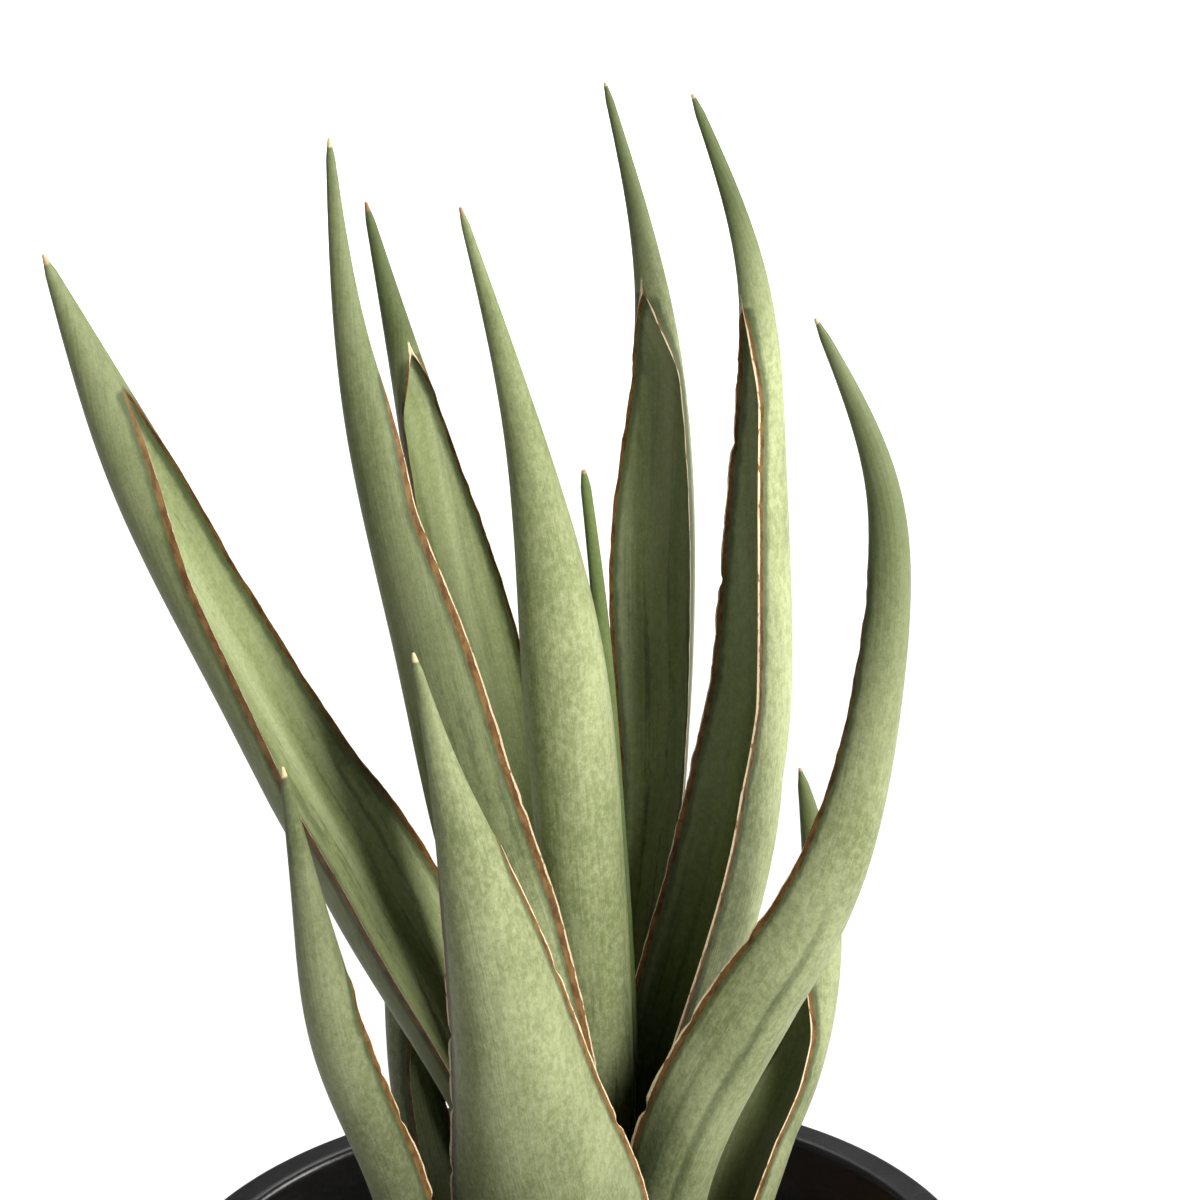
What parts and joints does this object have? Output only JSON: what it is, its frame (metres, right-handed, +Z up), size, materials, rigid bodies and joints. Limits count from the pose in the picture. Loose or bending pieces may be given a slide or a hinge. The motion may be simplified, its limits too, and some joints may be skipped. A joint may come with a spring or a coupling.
{
  "type": "potted snake plant",
  "caption": "Upright houseplant with thick, channelled, sword-shaped leaves rising in a fan from a plastic nursery pot; decorative greenery that rests on its flat base.",
  "frame": {"origin": "middle of the pot's flat underside, on the surface it stands on", "axes": "+Z up along the pot's axis and the leaves' height, -Y the front of the plant, +X its right as seen from the front"},
  "size_m": [0.1635, 0.16, 0.3682],
  "materials": {
    "leaf": "matte",
    "pot": "gloss",
    "potting_mix": "matte",
    "rhizome": "satin"
  },
  "bodies": {
    "root": {"pot": "pot", "potting_mix": "potting_mix", "rhizome": "rhizome", "leaf_front": "leaf", "leaf_front_left": "leaf", "leaf_front_right": "leaf", "leaf_tall_left": "leaf", "leaf_centre": "leaf", "leaf_far_left": "leaf", "leaf_back_left": "leaf", "leaf_young": "leaf", "leaf_back_tall": "leaf", "leaf_tall_right": "leaf", "leaf_rear_right": "leaf", "leaf_rear_left": "leaf"}
  },
  "joints": []
}
